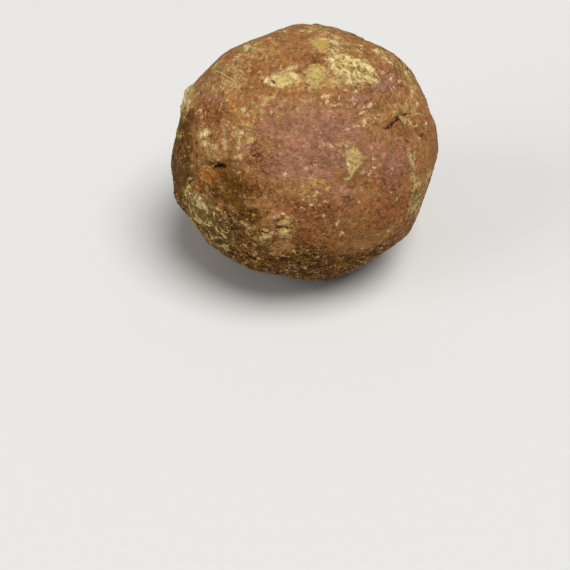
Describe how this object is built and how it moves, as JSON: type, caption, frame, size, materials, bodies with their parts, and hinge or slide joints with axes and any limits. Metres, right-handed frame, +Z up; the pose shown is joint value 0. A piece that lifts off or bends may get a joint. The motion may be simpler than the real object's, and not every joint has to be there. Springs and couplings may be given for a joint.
{
  "type": "jaggery lump",
  "caption": "Hand-rolled round lump of dark jaggery, a set cane sugar, with pale crusts, a crack and a finger hollow, resting on a small flat underneath.",
  "frame": {"origin": "middle of the bounding box, at the flat underneath that the lump rests on", "axes": "+Z up; -Y faces the side with the crack, the finger hollow and the pale crusts; +X to that side's right"},
  "size_m": [0.092, 0.0872, 0.0845],
  "materials": {
    "jaggery": "matt, granular set sugar with pale dry crusts"
  },
  "bodies": {
    "root": {"jaggery_lump": "jaggery"}
  },
  "joints": []
}
